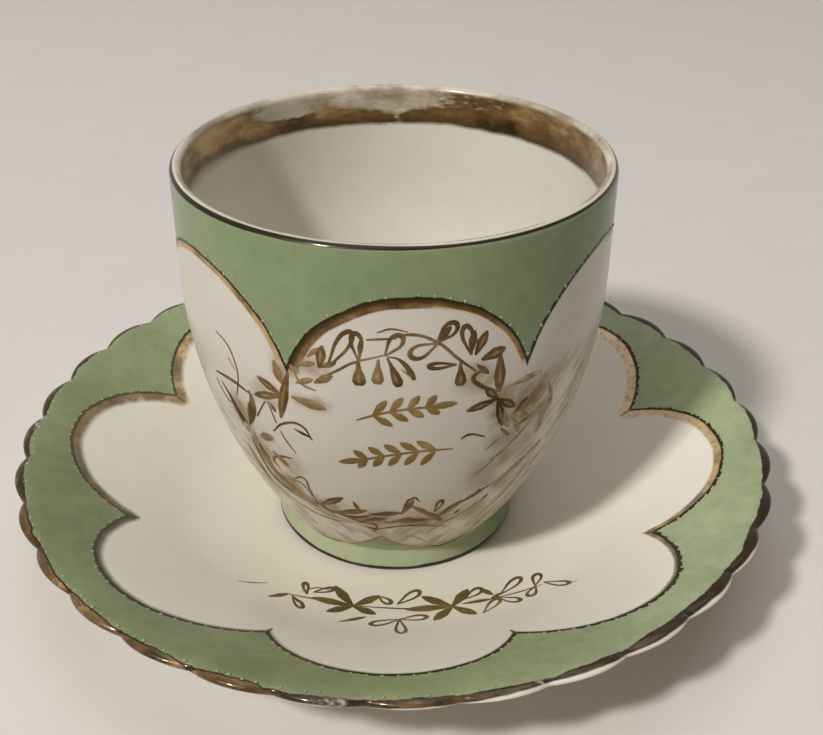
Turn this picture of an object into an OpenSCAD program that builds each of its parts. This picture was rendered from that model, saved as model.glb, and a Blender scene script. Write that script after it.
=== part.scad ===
// Porcelain cup with a luted loop handle, standing on a scalloped saucer.
// Millimetres, +Z up, the saucer's foot ring on Z = 0, the handle at +Y.

/* [Cup] */
// Outside diameter of the cup at the lip
cup_d = 85; // [80:0.5:92]
// Height of the cup from its foot to the top of the lip
cup_h = 82.3; // [78:0.1:90]
// Thickness of the wall, rounded over at the lip
wall_t = 2.4; // [2:0.1:3.2]
// Height over the foot where the upright wall begins to curve in
shoulder_h = 62; // [59:0.5:65]
// Radius of the long curve of the bowl
belly_r = 102; // [97:0.5:112]
// Radius inside the cup between floor and wall
inner_r = 14; // [8:0.5:17]

/* [Foot ring of the cup] */
// Diameter of the foot ring where it stands
foot_d = 52; // [49:0.5:54]
// Height of the neck over the standing face
neck_h = 5.2; // [4.5:0.1:6]
// Amount the neck is drawn in from the standing face
neck_in = 1; // [0.5:0.1:1.5]
// Width of the standing face
foot_w = 3; // [2.4:0.1:4]
// Depth of the hollow under the cup
foot_hollow = 2.6; // [1.8:0.1:3]
// Thickness of the floor of the cup
floor_t = 3.4; // [2.6:0.1:4.5]

/* [Handle] */
// Width of the handle across the grip
grip_w = 8.4; // [7:0.1:10]
// Thickness of the handle
grip_t = 5.2; // [4:0.1:6]
// Height over the foot of the top of the loop, on its centre line
loop_h = 63; // [60:0.5:66]
// Straight reach from the wall to the upper bend
loop_reach = 13; // [11:0.5:16]
// Radius of the upper bend
bend_r = 12.5; // [11:0.5:14]
// Radius of the long sweep back to the bowl
sweep_r = 27; // [25:0.5:29]
// Radius of the slip-covered roots at the wall
root_r = 6; // [5.4:0.1:6.6]
// Length of the roots out from the wall
root_l = 6; // [5:0.5:7]

/* [Saucer] */
// Diameter over the tips of the scallops
saucer_d = 160.4; // [154:0.2:168]
// Thickness of the saucer
saucer_t = 2.4; // [2.2:0.1:3]
// Height of the flat well over the table
well_z = 4; // [3.6:0.1:4.8]
// Diameter of the flat well
well_d = 60; // [56:0.5:64]
// Radius of the hollow curve round the well
hollow_r = 40; // [36:0.5:44]
// Slope of the rise
rise_a = 29; // [26:0.5:31]
// Radius where the rise turns over into the rim
turn_at = 68; // [66:0.5:69]
// Radius of the turned-over rim
turn_r = 54; // [50:0.5:70]
// Inside diameter of the foot ring
ring_d = 84; // [78:0.5:88]
// Width of the foot ring
ring_w = 3.2; // [2.6:0.1:4]

/* [Scalloped rim] */
// Number of scallops round the rim
scallops = 32; // [28:1:36]
// Radius of one scallop
scallop_r = 13.6; // [12:0.1:15]
// Turn of the scallops against the handle
saucer_turn = -7.2; // [-11:0.1:11]

/* [Hidden] */
$fn = 96;

glaze = [0.86, 0.85, 0.80];
green = [0.62, 0.69, 0.54];
far = 200;

cup_r = cup_d / 2;
foot_r = foot_d / 2;
neck_r = foot_r - neck_in;
// centre of the bowl's long curve, shared by the outside and the inside
belly_x = cup_r - belly_r;
belly_in = belly_r - wall_t;
inside_h = foot_hollow + floor_t;
// centre of the small curve inside, touching the floor and the long curve
curl_z = inside_h + inner_r;
curl_x = belly_x + sqrt(pow(belly_in - inner_r, 2) - pow(shoulder_h - curl_z, 2));
// point where the small curve meets the long one
meet_k = inner_r / (belly_in - inner_r);
meet_x = curl_x + (curl_x - belly_x) * meet_k;
meet_z = curl_z + (curl_z - shoulder_h) * meet_k;
lip_r = wall_t / 2;

// path of the handle, on its centre line: x is out from the axis, y is up
loop_x = cup_r + loop_reach;
bend_y = loop_h - bend_r;
sweep_x = loop_x + bend_r - sweep_r;
sweep_y = bend_y - sweep_r;
// radius of the bowl where the lower root meets it
joint_x = belly_x + sqrt(pow(belly_r, 2) - pow(shoulder_h - sweep_y, 2));

saucer_r = saucer_d / 2;
well_r = well_d / 2;
ring_r = ring_d / 2;
// end of the hollow curve and the straight rise up to the turn
hollow_x = well_r + hollow_r * sin(rise_a);
hollow_z = well_z + hollow_r * (1 - cos(rise_a));
turn_z = hollow_z + (turn_at - hollow_x) * tan(rise_a);
turn_x0 = turn_at + turn_r * sin(rise_a);
turn_z0 = turn_z - turn_r * cos(rise_a);

// everything below the saucer's upper face, moved in by t at right angles to it
module below(t) {
  a = [hollow_x + t * sin(rise_a), hollow_z - t * cos(rise_a)];
  b = [turn_at + t * sin(rise_a), turn_z - t * cos(rise_a)];
  difference() {
    polygon([[0, -1], [b[0], -1], b, a, [well_r, well_z - t], [0, well_z - t]]);
    translate([well_r, well_z + hollow_r]) circle(hollow_r + t, $fn = 240);
  }
  intersection() {
    translate([turn_x0, turn_z0]) circle(turn_r - t, $fn = 240);
    translate([b[0] - 0.01, -1]) square([saucer_r + 3 - b[0], 60]);
  }
}

// scalloped outline: one round tongue for each scallop on a plain disc
module outline() {
  circle(saucer_r - 4, $fn = 240);
  for (i = [0 : scallops - 1]) {
    rotate(saucer_turn + (i + 0.5) * 360 / scallops)
      translate([saucer_r - scallop_r, 0])
        circle(scallop_r, $fn = 72);
  }
}

module saucer() {
  color(green)
    intersection() {
      union() {
        rotate_extrude($fn = 240)
          difference() {
            below(0);
            below(saucer_t);
            translate([-1, -2]) square([far, 2]);
          }
        rotate_extrude($fn = 240)
          difference() {
            intersection() {
              below(saucer_t / 2);
              translate([ring_r, 0]) square([ring_w, 20]);
            }
            translate([ring_r, 0]) rotate(45) square(0.8, center = true);
            translate([ring_r + ring_w, 0]) rotate(45) square(0.8, center = true);
          }
      }
      translate([0, 0, -1]) linear_extrude(60) outline();
    }
}

// the cup's outer form without its hollow, standing on height 0
module cup_form() {
  intersection() {
    translate([belly_x, shoulder_h]) circle(belly_r, $fn = 240);
    translate([0, neck_h]) square([far, shoulder_h - neck_h]);
  }
  translate([0, shoulder_h]) square([cup_r, cup_h - lip_r - shoulder_h]);
  polygon([[0, 0], [foot_r - 0.7, 0], [foot_r, 0.7], [foot_r, 1.6], [neck_r, neck_h], [0, neck_h]]);
}

// the space inside the cup
module cup_space() {
  intersection() {
    translate([belly_x, shoulder_h]) circle(belly_in, $fn = 240);
    translate([0, meet_z]) square([far, shoulder_h - meet_z]);
  }
  translate([0, shoulder_h]) square([cup_r - wall_t, cup_h]);
  polygon([[0, inside_h], [curl_x, inside_h], [curl_x, curl_z], [meet_x, meet_z], [0, meet_z]]);
  intersection() {
    translate([curl_x, curl_z]) circle(inner_r, $fn = 120);
    translate([0, inside_h]) square([far, far]);
  }
}

module cup_body() {
  color(green)
    translate([0, 0, well_z])
      rotate_extrude($fn = 240) {
        difference() {
          cup_form();
          cup_space();
          translate([-1, -1]) square([foot_r - foot_w - 0.4 + 1, foot_hollow + 1]);
        }
        translate([cup_r - lip_r, cup_h - lip_r]) circle(lip_r, $fn = 48);
      }
}

// flat oval section of the handle: x is its thickness, y its width
module grip() {
  square([grip_t, grip_w - grip_t], center = true);
  for (s = [-1, 1]) {
    translate([0, s * (grip_w - grip_t) / 2]) circle(grip_t / 2, $fn = 48);
  }
}

// a level length of handle at height y, from x0 out to x1
module run(x0, x1, y) {
  translate([x0, y, 0])
    rotate([90, 0, 90])
      linear_extrude(x1 - x0) grip();
}

// a quarter bend about c, from angle a
module bend(c, r, a) {
  translate([c[0], c[1], 0])
    rotate([0, 0, a])
      rotate_extrude(angle = 90, $fn = 120)
        translate([r, 0]) grip();
}

// a root widening inward to the wall at x
module root(x, y) {
  translate([x + root_l, y, 0])
    rotate([0, -90, 0])
      cylinder(h = root_l + 2, r1 = 1.2, r2 = root_r, $fn = 72);
}

module cup_handle() {
  color(glaze)
    translate([0, 0, well_z])
      difference() {
        rotate([90, 0, 90]) {
          run(cup_r - 3, loop_x, loop_h);
          bend([loop_x, bend_y], bend_r, 0);
          bend([sweep_x, bend_y], sweep_r, -90);
          run(joint_x - 6, sweep_x, sweep_y);
          root(cup_r, loop_h);
          root(joint_x, sweep_y);
        }
        rotate_extrude($fn = 240) cup_form();
      }
}

saucer();
cup_body();
cup_handle();
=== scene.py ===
from math import asin, atan2, cos, hypot, pi, radians, sin, sqrt

import bmesh
import bpy
from mathutils import Matrix, Vector


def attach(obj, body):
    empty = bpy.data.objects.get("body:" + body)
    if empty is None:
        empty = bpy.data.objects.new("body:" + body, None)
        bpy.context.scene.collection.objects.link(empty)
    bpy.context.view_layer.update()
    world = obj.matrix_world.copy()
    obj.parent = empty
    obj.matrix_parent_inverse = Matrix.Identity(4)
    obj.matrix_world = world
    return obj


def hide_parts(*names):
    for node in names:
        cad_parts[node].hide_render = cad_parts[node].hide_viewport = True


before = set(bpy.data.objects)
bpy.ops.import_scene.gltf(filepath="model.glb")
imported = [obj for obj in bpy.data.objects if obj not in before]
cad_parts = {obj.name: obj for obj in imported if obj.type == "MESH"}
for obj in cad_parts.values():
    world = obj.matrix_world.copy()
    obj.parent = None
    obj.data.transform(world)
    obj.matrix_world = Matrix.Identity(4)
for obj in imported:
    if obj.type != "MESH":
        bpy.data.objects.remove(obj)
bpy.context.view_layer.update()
mm = 0.001  # sizes below are in millimetres
scene = bpy.context.scene
scene.view_settings.view_transform = "Standard"
print("frame loaded:", sorted(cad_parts))


# camera at the photograph's angle, for a picture 823 pixels wide
cameraSet = {"wide": 823, "focalPixels": 1155.0, "sensor": 36, "tilt": 31.4, "roll": 0.35, "yaw": 4.5,
             "place": (-12.95, -209.3, 166.0)}


def addCamera(v):
    bpy.ops.object.camera_add(location=[c * mm for c in v["place"]])
    cam = bpy.context.object
    turn = Matrix.Rotation(radians(-v["yaw"]), 3, "Z") @ Matrix.Rotation(radians(90 - v["tilt"]), 3, "X")
    cam.rotation_euler = (turn @ Matrix.Rotation(radians(v["roll"]), 3, "Z")).to_euler()
    cam.data.sensor_fit = "HORIZONTAL"
    cam.data.sensor_width = v["sensor"]
    cam.data.lens = v["focalPixels"] / v["wide"] * v["sensor"]
    cam.data.clip_start = 0.01
    scene.camera = cam


addCamera(cameraSet)


# mesh helpers
def deselect():
    bpy.ops.object.select_all(action="DESELECT")


def editMode():
    bpy.ops.object.mode_set(mode="EDIT")
    bpy.ops.mesh.select_mode(type="VERT")


def objectMode():
    bpy.ops.object.mode_set(mode="OBJECT")


def selectAll():
    bpy.ops.mesh.select_all(action="SELECT")


def pick(kind, test):
    # selects the vertices or faces whose place passes the test
    bpy.ops.mesh.select_mode(type=kind)
    bpy.ops.mesh.select_all(action="DESELECT")
    data = bpy.context.object.data
    bm = bmesh.from_edit_mesh(data)
    for part in bm.verts if kind == "VERT" else bm.faces:
        part.select = test(part.co if kind == "VERT" else part.calc_center_median())
    bm.select_flush_mode()
    bmesh.update_edit_mesh(data)


def drawOut(y, z):
    bpy.ops.mesh.extrude_region_move(TRANSFORM_OT_translate={"value": (0, y * mm, z * mm)})


def turnOut():
    # every face outwards
    selectAll()
    bpy.ops.mesh.normals_make_consistent(inside=False)


def closeUp():
    # caps the open ends with a fan
    bpy.ops.mesh.select_mode(type="EDGE")
    bpy.ops.mesh.select_all(action="DESELECT")
    bpy.ops.mesh.select_non_manifold()
    bpy.ops.mesh.fill_holes(sides=0)
    bpy.ops.mesh.select_mode(type="FACE")
    bpy.ops.mesh.select_face_by_sides(number=4, type="GREATER", extend=False)
    bpy.ops.mesh.poke()
    turnOut()


def rename(name):
    obj = bpy.context.object
    obj.name = obj.data.name = name
    return obj


def turnProfile(name, rings, sides):
    # a circle drawn up ring by ring, as on a wheel
    deselect()
    bpy.ops.mesh.primitive_circle_add(vertices=sides, radius=rings[0][0] * mm)
    obj = rename(name)
    editMode()
    selectAll()
    bpy.ops.transform.translate(value=(0, 0, rings[0][1] * mm))
    for (rA, zA), (rB, zB) in zip(rings, rings[1:]):
        drawOut(0, zB - zA)
        bpy.ops.transform.resize(value=(rB / rA, rB / rA, 1), center_override=(0, 0, zB * mm))
    return obj


def arcRings(cx, cz, r, a0, a1, steps):
    # points of an arc in the turning profile, angles in radians from level
    angles = [a0 + (a1 - a0) * i / steps for i in range(steps + 1)]
    return [(cx + r * cos(a), cz + r * sin(a)) for a in angles]


def copyAt(obj, place):
    c = obj.copy()
    c.data = obj.data.copy()
    bpy.context.collection.objects.link(c)
    c.matrix_world = place
    return c


def joinAll(name, parts):
    deselect()
    for p in parts:
        p.select_set(True)
    bpy.context.view_layer.objects.active = parts[0]
    bpy.ops.object.join()
    bpy.ops.object.transform_apply(location=True, rotation=True, scale=True)
    return rename(name)


def settle(obj, body, nodes=(), angle=40):
    if bpy.context.object.mode == "EDIT":
        objectMode()
    bpy.ops.object.shade_smooth_by_angle(angle=radians(angle))
    if nodes:
        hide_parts(*nodes)
    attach(obj, body)


# node helpers: a wire is a node's output that can stand in a sum
class Wire:
    def __init__(self, tree, socket):
        self.tree, self.socket = tree, socket

    def __add__(self, other):
        return calc("ADD", self, other)

    def __sub__(self, other):
        return calc("SUBTRACT", self, other)

    def __rsub__(self, other):
        return calc("SUBTRACT", other, self)

    def __mul__(self, other):
        return calc("MULTIPLY", self, other)

    def __truediv__(self, other):
        return calc("DIVIDE", self, other)

    def __abs__(self):
        return calc("ABSOLUTE", self)


def srgb(r, g, b):
    return (*[((c / 255 + 0.055) / 1.055) ** 2.4 if c > 10 else c / 255 / 12.92 for c in (r, g, b)], 1)


def plug(socket, value):
    if isinstance(value, Wire):
        value.tree.links.new(value.socket, socket)
    else:
        socket.default_value = value


def wiresOf(node):
    return {s.name: Wire(node.id_data, s) for s in node.outputs}


def addNode(kind, values, output=0, **settings):
    # goes into the tree of any wire among its values
    tree = next(v.tree for v in values.values() if isinstance(v, Wire))
    n = tree.nodes.new(kind)
    for name, value in settings.items():
        setattr(n, name, value)
    for key, value in values.items():
        plug(n.inputs[key], value)
    return Wire(tree, n.outputs[output])


def calc(operation, *values):
    return addNode("ShaderNodeMath", dict(enumerate(values)), operation=operation)


def most(*values):
    out = values[0]
    for value in values[1:]:
        out = calc("MAXIMUM", out, value)
    return out


def lengthOf(u, v):
    return calc("SQRT", u * u + v * v)


def ease(value, low, high, toLow=0.0, toHigh=1.0):
    values = {"Value": value, "From Min": low, "From Max": high, "To Min": toLow, "To Max": toHigh}
    return addNode("ShaderNodeMapRange", values, "Result", interpolation_type="SMOOTHSTEP")


def fall(value, low, high):
    return ease(value, low, high, 1.0, 0.0)


def band(value, low, high, soft):
    # 1 between low and high with soft sides
    return ease(value, low - soft, low + soft) * fall(value, high - soft, high + soft)


def blend(factor, a, b):
    return addNode("ShaderNodeMix", {0: factor, 6: a, 7: b}, 2, data_type="RGBA")


def noise(vector, scale, detail=3.0, rough=0.55):
    values = {"Vector": vector, "Scale": scale, "Detail": detail, "Roughness": rough}
    return addNode("ShaderNodeTexNoise", values, "Fac")


def inMillimetres(vector):
    split = vector.tree.nodes.new("ShaderNodeSeparateXYZ")
    plug(split.inputs[0], vector)
    return [wire * 1000.0 for wire in wiresOf(split).values()]


def inMetres(x, y, z):
    return addNode("ShaderNodeCombineXYZ", {0: x * mm, 1: y * mm, 2: z * mm})


def startGroup(name, ins, outs):
    g = bpy.data.node_groups.new(name, "ShaderNodeTree")
    kinds = {"v": "NodeSocketVector", "f": "NodeSocketFloat", "c": "NodeSocketColor"}
    for side, sockets in (("INPUT", ins), ("OUTPUT", outs)):
        for label, kind in sockets.items():
            g.interface.new_socket(label, in_out=side, socket_type=kinds[kind])
    return g, wiresOf(g.nodes.new("NodeGroupInput")), g.nodes.new("NodeGroupOutput").inputs


def useGroup(group, **values):
    n = values["Vector"].tree.nodes.new("ShaderNodeGroup")
    n.node_tree = group
    for name, value in values.items():
        plug(n.inputs[name], value)
    return wiresOf(n)


def newMaterial(name):
    m = bpy.data.materials.new(name)
    m.use_nodes = True
    nodes = m.node_tree.nodes
    co = Wire(m.node_tree, nodes.new("ShaderNodeTexCoord").outputs["Object"])
    return m, nodes["Principled BSDF"].inputs, co


def bumpUp(shader, height, distance, strength):
    values = {"Strength": strength, "Distance": distance, "Height": height}
    plug(shader["Normal"], addNode("ShaderNodeBump", values))


# forms shared by bodies, dots and gilding
cup = {"base": 4.0, "lipZ": 86.3, "lipR": 42.5, "wall": 2.4, "shoulder": 66.0, "belly": 102.0,
       "neckZ": 9.2, "floorZ": 10.0, "curl": 14.0, "sides": 192, "strokeSpread": 42.0}
arch = {"panels": 6, "spread": 42.4, "midZ": 54.0, "radius": 23.0,
        "lowSpread": 28.0, "lowZ": 26.4, "lowRadius": 17.6, "lowTurn": -9.0}
dish = {"wellZ": 4.0, "wellR": 30.0, "hollow": 40.0, "rise": 29.0, "turnAt": 68.0, "turnR": 54.0,
        "tipR": 80.15, "scallops": 32, "scallopR": 16.5, "sink": 0.8, "turn": -7.2, "sides": 384}
petal = {"count": 8, "mid": 47.65, "radius": 23.35,
         "lean": 0.054, "leanFrom": -2.07, "leanFull": 0.33, "leanHold": 0.47, "leanEnd": 1.12}
# the rim's gilding is measured in from a circle that partly follows the scallops
rimGilt = {"from": 79.5, "follow": 0.25, "reach": 1.05, "left": 0.5,
           "corner": 2.0, "backCorner": 2.4, "dotCorner": 2.2}


def bowlR(z):
    if z >= cup["shoulder"]:
        return cup["lipR"]
    return cup["lipR"] - cup["belly"] + sqrt(cup["belly"] ** 2 - (cup["shoulder"] - z) ** 2)


slope = radians(dish["rise"])
hollowEnd = dish["wellR"] + dish["hollow"] * sin(slope)
hollowEndZ = dish["wellZ"] + dish["hollow"] * (1 - cos(slope))
turnZ = hollowEndZ + (dish["turnAt"] - hollowEnd) * sin(slope) / cos(slope)
turnCx = dish["turnAt"] + dish["turnR"] * sin(slope)
turnCz = turnZ - dish["turnR"] * cos(slope)


def dishZ(r):
    if r <= dish["wellR"]:
        return dish["wellZ"]
    if r <= hollowEnd:
        return dish["wellZ"] + dish["hollow"] - sqrt(dish["hollow"] ** 2 - (r - dish["wellR"]) ** 2)
    if r <= dish["turnAt"]:
        return hollowEndZ + (r - hollowEnd) * (turnZ - hollowEndZ) / (dish["turnAt"] - hollowEnd)
    return turnCz + sqrt(dish["turnR"] ** 2 - (r - turnCx) ** 2)


def makeCupBody(v):
    inR = v["lipR"] - v["wall"]
    lip = v["wall"] / 2
    lipCz = v["lipZ"] - lip
    foot = [(21.4, 2.6), (22.2, 2.5), (22.55, 2.1), (22.6, 1.2), (22.7, 0.4), (23.0, 0.08), (23.5, 0.0),
            (24.7, 0.0), (25.3, 0.08), (25.75, 0.4), (25.97, 0.9), (26.0, 1.5), (25.85, 2.3), (25.5, 3.4),
            (25.15, 4.4), (25.02, 5.0), (25.2, 5.45)]
    rings = [(r, v["base"] + rise) for r, rise in foot]
    z = v["neckZ"] + 0.7
    while z < v["shoulder"] - 0.5:
        rings.append((bowlR(z), z))
        z += 1.3 if z < 20 else 2.4  # closer where the bowl curves most
    rings += [(v["lipR"], v["shoulder"] + i * 3.1) for i in range(6)]
    rings += [(v["lipR"], lipCz - 1.6)]
    rings += arcRings(v["lipR"] - lip, lipCz, lip, 0, pi, 12)
    rings += [(inR, lipCz - 1.6)] + [(inR, lipCz - 3.2 - i * 3.2) for i in range(5)]
    inBelly = v["belly"] - v["wall"]
    cx = v["lipR"] - v["belly"]
    curlZ = v["floorZ"] + v["curl"]
    curlX = cx + sqrt((inBelly - v["curl"]) ** 2 - (v["shoulder"] - curlZ) ** 2)
    meet = atan2(curlZ - v["shoulder"], curlX - cx)  # where the small inner curve takes over
    rings += arcRings(cx, v["shoulder"], inBelly, 0, meet, 18)[1:]
    rings += arcRings(curlX, curlZ, v["curl"], meet, -pi / 2, 7)[1:]
    rings += [(10.0, v["floorZ"]), (4.0, v["floorZ"])]
    obj = turnProfile("cup_porcelain", rings, v["sides"])
    closeUp()
    return obj


def edgeR(off):
    # scalloped outline, by the angle from the nearest tip
    mid = dish["tipR"] - dish["scallopR"]
    return mid * cos(off) + sqrt(dish["scallopR"] ** 2 - (mid * sin(off)) ** 2)


scallopStep = 2 * pi / dish["scallops"]
valleyDepth = dish["tipR"] - edgeR(scallopStep / 2)


def offTip(x, y):
    return (atan2(y, x) - radians(dish["turn"])) % scallopStep - scallopStep / 2


def pinchAt(off):
    # 0 at a tip, 1 in a valley
    return (dish["tipR"] - edgeR(off)) / valleyDepth


def makeSaucer(v):
    radii = [6.0, 14.0, 22.0, 28.0] + [30 + 2.0 * i for i in range(10)] + [50.5 + 2.5 * i for i in range(7)]
    rings = [(r, dishZ(r)) for r in radii]
    # rolled rim: distance in from the edge, drop below the face, how far it follows the scallops
    rim = [(12.0, 0.0, 0.0), (9.5, 0.0, 0.06), (7.5, 0.0, 0.16), (6.0, 0.0, 0.3), (4.8, 0.0, 0.46),
           (3.8, 0.0, 0.62), (3.0, 0.04, 0.76), (2.3, 0.13, 0.87), (1.7, 0.27, 0.95), (1.15, 0.47, 1.0),
           (0.7, 0.72, 1.0), (0.36, 0.98, 1.0), (0.12, 1.26, 1.0), (0.0, 1.55, 1.0), (0.06, 1.82, 1.0),
           (0.3, 2.05, 1.0), (0.9, 2.2, 0.95), (2.2, 2.28, 0.8), (4.0, 2.34, 0.55), (6.0, 2.42, 0.3),
           (9.0, 2.5, 0.08)]
    rimRings = [(v["tipR"] - d, dishZ(v["tipR"] - d) - drop) for d, drop, follow in rim]
    rings += rimRings
    rings += [(r, dishZ(r) - 2.7) for r in (68.0, 64.0, 60.0, 56.0, 52.0, 49.0)]
    rings += [(46.6, 4.9), (45.7, 4.4), (45.3, 3.4), (45.2, 1.0), (45.0, 0.35), (44.5, 0.03), (43.9, 0.0),
              (43.2, 0.0), (42.6, 0.05), (42.2, 0.4), (42.0, 1.0), (41.9, 2.5), (41.2, 3.05), (39.0, 2.78),
              (36.0, 2.12), (33.0, 1.7), (30.0, 1.6), (20.0, 1.6), (8.0, 1.6)]
    obj = turnProfile("saucer_porcelain", rings, v["sides"])
    closeUp()
    selectAll()
    bpy.ops.transform.rotate(value=-radians(v["turn"]), orient_axis="Z", center_override=(0, 0, 0))
    # scallops: vertices at the same angle from a tip are drawn in and sunk together
    perScallop = v["sides"] // v["scallops"]
    for (d, drop, follow), (r, z) in zip(rim, rimRings):
        for c in range(1, perScallop // 2 + 1):
            off = scallopStep * c / perScallop
            pinch = pinchAt(off) * follow
            goal = r - valleyDepth * pinch + min(d, 2.5) * 0.35 * pinch
            pick("VERT", lambda p: abs(hypot(p.x, p.y) - r * mm) < 3e-6 and abs(p.z - z * mm) < 3e-6
                 and abs(abs(offTip(p.x, p.y)) - off) < 0.004)
            bpy.ops.transform.resize(value=(goal / r, goal / r, 1), center_override=(0, 0, 0))
            bpy.ops.transform.translate(value=(0, 0, -v["sink"] * pinch * mm))
    return obj


cupBody = makeCupBody(cup)
settle(cupBody, "cup", ["cup_body"])
print("cup turned:", len(cupBody.data.vertices), "vertices")
saucer = makeSaucer(dish)
settle(saucer, "saucer", ["saucer"])
print("saucer turned:", len(saucer.data.vertices), "vertices")


# handle: an oval drawn out of the wall, bent twice and led back into the bowl
handle = {"topZ": 67.0, "runEnd": 55.5, "bend": 12.5, "sweep": 27.0, "wide": 8.4, "paintedReflectionDark": 5.2, "flare": 6.0,
          "rootIn": 1.2, "lowRootIn": 1.3, "lowTilt": 4.4, "sides": 20}


def makeHandle(v):
    deselect()
    bpy.ops.mesh.primitive_circle_add(vertices=v["sides"], radius=1 * mm, rotation=(pi / 2, 0, 0))
    obj = rename("cup_grip")
    bpy.ops.object.transform_apply(location=True, rotation=True, scale=True)
    editMode()
    selectAll()

    def section(y, z, spread, last):
        # the oval, widened by its spread from 0 to 1 towards a root
        size = [half + (v["flare"] - half) * spread for half in (v["wide"] / 2, v["paintedReflectionDark"] / 2)]
        scale = (size[0] / last[0], 1, size[1] / last[1])
        bpy.ops.transform.resize(value=scale, center_override=(0, y * mm, z * mm))
        return size

    z, y = v["topZ"], cup["lipR"] - v["rootIn"]
    bpy.ops.transform.translate(value=(0, y * mm, z * mm))
    size = section(y, z, 1.0, (1, 1))
    for step, spread in ((1.2, 1.0), (0.8, 0.72), (1.2, 0.44), (1.6, 0.2), (2.0, 0.05), (2.4, 0.0)):
        y += step
        drawOut(step, 0)
        size = section(y, z, spread, size)
    drawOut(v["runEnd"] - y, 0)
    z -= v["bend"]
    bpy.ops.mesh.spin(steps=10, angle=pi / 2, center=(0, v["runEnd"] * mm, z * mm), axis=(1, 0, 0))
    midY = v["runEnd"] + v["bend"] - v["sweep"]
    bpy.ops.mesh.spin(steps=16, angle=pi / 2, center=(0, midY * mm, z * mm), axis=(1, 0, 0))
    z -= v["sweep"]
    y = midY
    goal = bowlR(z) - v["lowRootIn"]
    for share, spread in ((0.2, 0.0), (0.4, 0.06), (0.58, 0.22), (0.74, 0.48), (0.86, 0.76), (1.0, 1.0)):
        step = midY + (goal - midY) * share - y
        y += step
        drawOut(step, 0)
        size = section(y, z, spread, size)
        middle = (0, y * mm, z * mm)  # tilted there, towards the bowl's slope
        bpy.ops.transform.rotate(value=radians(v["lowTilt"]), orient_axis="X", center_override=middle)
    selectAll()
    bpy.ops.mesh.remove_doubles(threshold=1e-6)
    closeUp()
    objectMode()
    sub = obj.modifiers.new("smooth", "SUBSURF")
    sub.levels = sub.render_levels = 1
    bpy.ops.object.modifier_apply(modifier=sub.name)
    return obj


grip = makeHandle(handle)
settle(grip, "cup", ["cup_handle"], angle=60)
print("handle drawn:", len(grip.data.vertices), "vertices")


# raised dots along the painted lines, one modelled and the rest copied
dots = {"radius": 0.4, "flat": 0.45, "pitch": 2.6, "archOut": 0.62, "petalOut": 0.5, "petalReach": 1.83,
        "rimIn": 0.25, "rimPerScallop": 7, "rimLost": 0.35}


def makeDots(name, places, turns=1):
    # places give a spot, the glaze's normal and a size; the row is repeated round the upright axis
    deselect()
    bpy.ops.mesh.primitive_uv_sphere_add(segments=8, ring_count=5, radius=dots["radius"] * mm)
    first = bpy.context.object
    editMode()
    selectAll()
    bpy.ops.transform.resize(value=(1, 1, dots["flat"]))
    objectMode()
    row = []
    for spot, normal, size in places:
        facing = normal.to_track_quat("Z", "Y").to_matrix().to_4x4()
        row.append(copyAt(first, Matrix.Translation(spot) @ facing @ Matrix.Scale(size, 4)))
    bpy.data.objects.remove(first)
    obj = joinAll(name, row)
    rest = [copyAt(obj, Matrix.Rotation(2 * pi * i / turns, 4, "Z")) for i in range(1, turns)]
    return joinAll(name, [obj] + rest)


def onCup(u, z, h=0.0, spread=cup["strokeSpread"]):
    a = u / spread
    r = bowlR(z) + h
    return Vector((r * sin(a), -r * cos(a), z)) * mm


def onDish(x, y, h=0.0):
    return Vector((x, y, dishZ(hypot(x, y)) + h)) * mm


def dishNormal(r, a):
    rise = (dishZ(r + 0.1) - dishZ(r - 0.1)) / 0.2
    return Vector((-rise * cos(a), -rise * sin(a), 1)).normalized()


def uneven(i):
    # the same unevenness each run, from 0 to 1
    return sin(i * 12.9898 + 4.1) * 43758.5453 % 1


def smooth(value, low, high):
    t = min(max((value - low) / (high - low), 0), 1)
    return t * t * (3 - 2 * t)


def lobeTurn(turn):
    # a lobe's own angle to the angle on the saucer; the lobes lean a little to the right in front
    near = (turn + pi) % (2 * pi) - pi
    up = smooth(near, petal["leanFrom"], petal["leanFull"])
    lean = petal["lean"] * up * (1 - smooth(near, petal["leanHold"], petal["leanEnd"]))
    return turn + lean + radians(dish["turn"]) - pi / 2


def archPlaces():
    r = arch["radius"] + dots["archOut"]
    cuspU = pi / arch["panels"] * arch["spread"]
    start = asin(sqrt(arch["radius"] ** 2 - cuspU ** 2) / arch["radius"]) + 0.1
    count = int((pi - 2 * start) * r / dots["pitch"])
    out = []
    for i in range(count + 1):
        a = start + (pi - 2 * start) * i / count
        spot = onCup(r * cos(a), arch["midZ"] + r * sin(a), spread=arch["spread"])
        out.append((spot, Vector((spot.x, spot.y, 0)).normalized(), 0.55 + 0.4 * uneven(i)))
    return out


def petalPlaces():
    r = petal["radius"] + dots["petalOut"]
    half = pi / petal["count"]
    out = []
    reach = dots["petalReach"]  # radians either side of the lobe's outer end
    count = int(2 * reach * r / dots["pitch"])
    for lobe in range(petal["count"]):
        for i in range(count + 1):
            a = -reach + 2 * reach * i / count
            x, y = r * sin(a), petal["mid"] + r * cos(a)
            if abs(atan2(x, y)) > half - 0.016:  # past the cusp
                continue
            far, turn = hypot(x, y), lobeTurn(atan2(x, y) + 2 * half * lobe)
            spot = onDish(far * cos(turn), far * sin(turn))
            out.append((spot, dishNormal(far, turn), 0.55 + 0.45 * uneven(i + lobe * 31)))
    return out


def giltReach(x, y):
    # how far in the rim's gilding comes, widest on the left and at the right's corners
    corner = rimGilt["corner"] if y < 0 else rimGilt["dotCorner"]
    return rimGilt["reach"] + rimGilt["left"] * max(-x, 0) ** 4 + corner * max(x, 0) * abs(y)


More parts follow.
